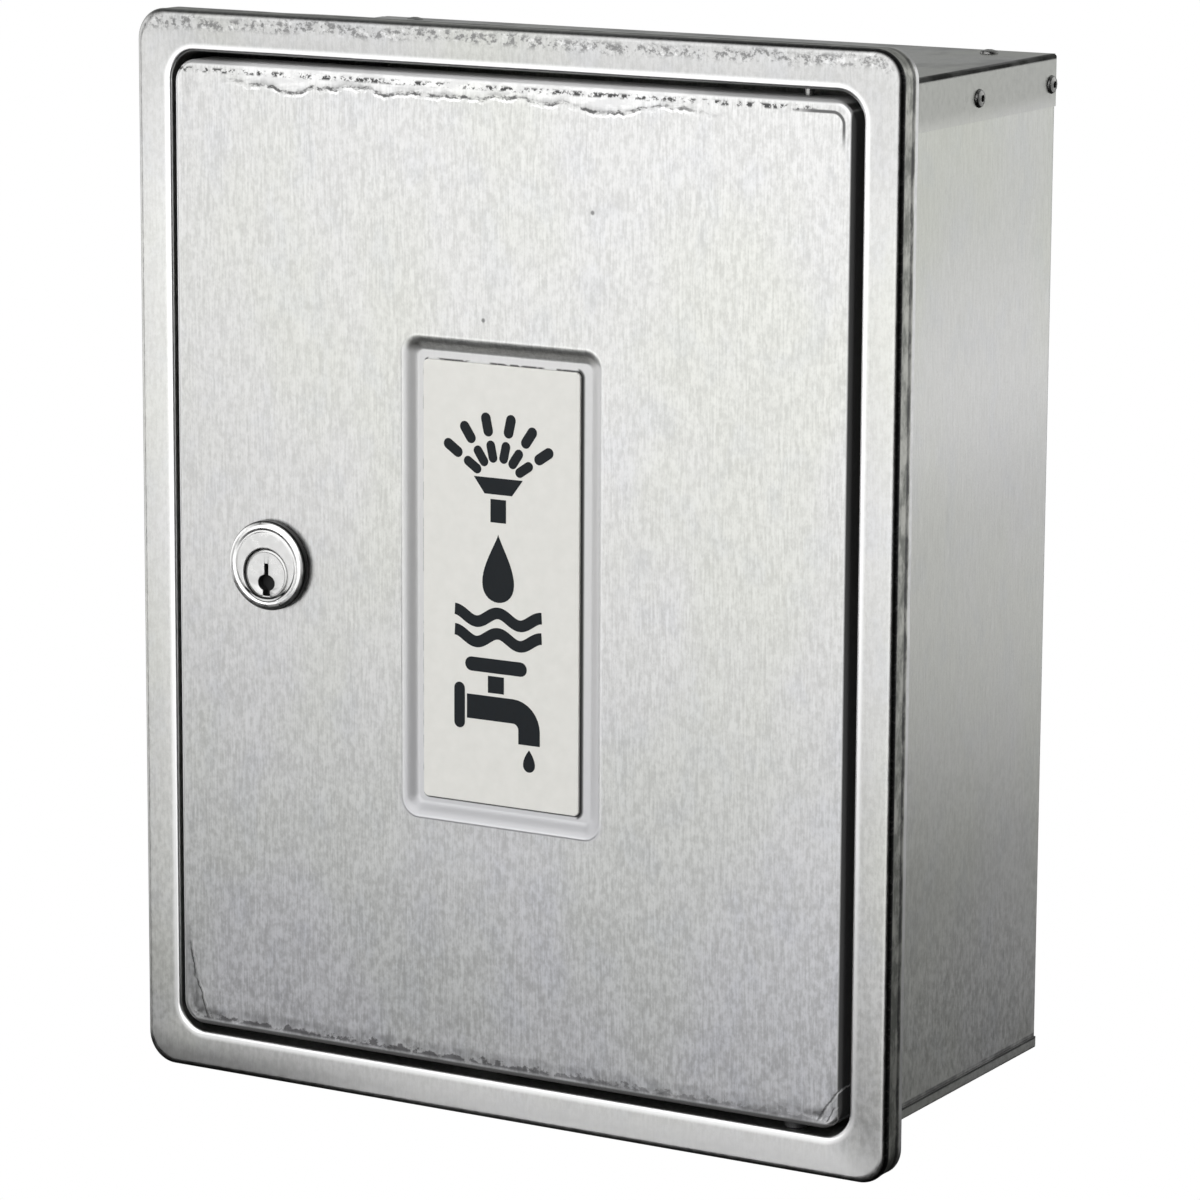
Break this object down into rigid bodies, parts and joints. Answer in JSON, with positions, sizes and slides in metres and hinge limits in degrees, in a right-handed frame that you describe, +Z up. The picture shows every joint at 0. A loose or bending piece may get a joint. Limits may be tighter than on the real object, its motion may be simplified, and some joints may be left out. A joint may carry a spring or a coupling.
{
  "type": "wall-mounted tap cabinet",
  "caption": "Stainless steel wall box with a flush lockable hinged door and a sunken label field, housing a horizontal hose tap.",
  "frame": {"origin": "centre of the back wall's outer face, on the wall that the cabinet is fixed to", "axes": "+Z up along the cabinet's height, +Y into the wall (the door faces -Y), +X to the right of the door seen from the front"},
  "size_m": [0.252, 0.1234, 0.32],
  "materials": {
    "brushed_sheet": "stainless sheet with a fine upright brushed grain",
    "plated_steel": "dull plated steel",
    "chrome": "satin to bright chrome plate",
    "brass": "machined and cast brass, slightly dulled",
    "black_rubber": "matt black rubber",
    "nylon": "black nylon",
    "label_plate": "semi-gloss cream plastic plate with dark pictograms"
  },
  "bodies": {
    "cabinet": {"box_shell": "brushed_sheet", "top_plate": "brushed_sheet", "bottom_plate": "brushed_sheet", "front_frame": "brushed_sheet", "side_rivet_right_front": "plated_steel", "side_rivet_right_rear": "plated_steel", "top_rivet_right": "plated_steel", "side_rivet_left_front": "plated_steel", "side_rivet_left_rear": "plated_steel", "top_rivet_left": "plated_steel", "door_stop_strip": "brushed_sheet", "door_buffer_upper": "black_rubber", "door_buffer_lower": "black_rubber", "upper_hinge_pin": "plated_steel", "lower_hinge_pin": "plated_steel", "hinge_washer": "nylon", "pipe_grommet": "black_rubber", "wall_flange": "chrome", "tap_body": "brass", "tap_bonnet": "brass", "gland_packing": "black_rubber", "gland_nut": "brass", "spout_gasket": "black_rubber", "spout_nut": "brass", "hose_nipple": "brass"},
    "door": {"door_panel": "brushed_sheet", "label_plate": "label_plate", "upper_hinge_bracket": "brushed_sheet", "lower_hinge_bracket": "brushed_sheet", "upper_hinge_bush": "nylon", "lower_hinge_bush": "nylon", "lock_body": "chrome", "lock_gasket": "black_rubber", "lock_washer": "plated_steel", "lock_nut": "plated_steel"},
    "lock_turning": {"lock_plug": "chrome", "lock_cam": "plated_steel", "cam_screw": "plated_steel"},
    "tap_valve": {"valve_jumper": "brass", "jumper_washer": "black_rubber"},
    "tap_turning": {"tap_spindle": "brass", "tap_handle": "chrome", "handle_screw": "plated_steel"}
  },
  "joints": [
    {"name": "door_hinge", "type": "hinge", "parent": "cabinet", "child": "door", "pos_m": [0.0944, -0.114, 0], "axis": [0, 0, 1], "range_deg": [0, 120]},
    {"name": "lock_turn", "type": "hinge", "parent": "door", "child": "lock_turning", "pos_m": [-0.0796, -0.12, -0.0042], "axis": [0, 1, 0], "range_deg": [0, 90]},
    {"name": "valve_lift", "type": "slide", "parent": "cabinet", "child": "tap_valve", "axis": [0, 0, 1], "range_m": [0, 0.003]},
    {"name": "handle_turn", "type": "hinge", "parent": "tap_valve", "child": "tap_turning", "pos_m": [0, -0.05, 0.045], "axis": [0, 0, 1], "range_deg": [0, 540]}
  ],
  "couplings": [
    {"joint": "handle_turn", "follows": "valve_lift", "rad_per_m": 3141.6}
  ]
}
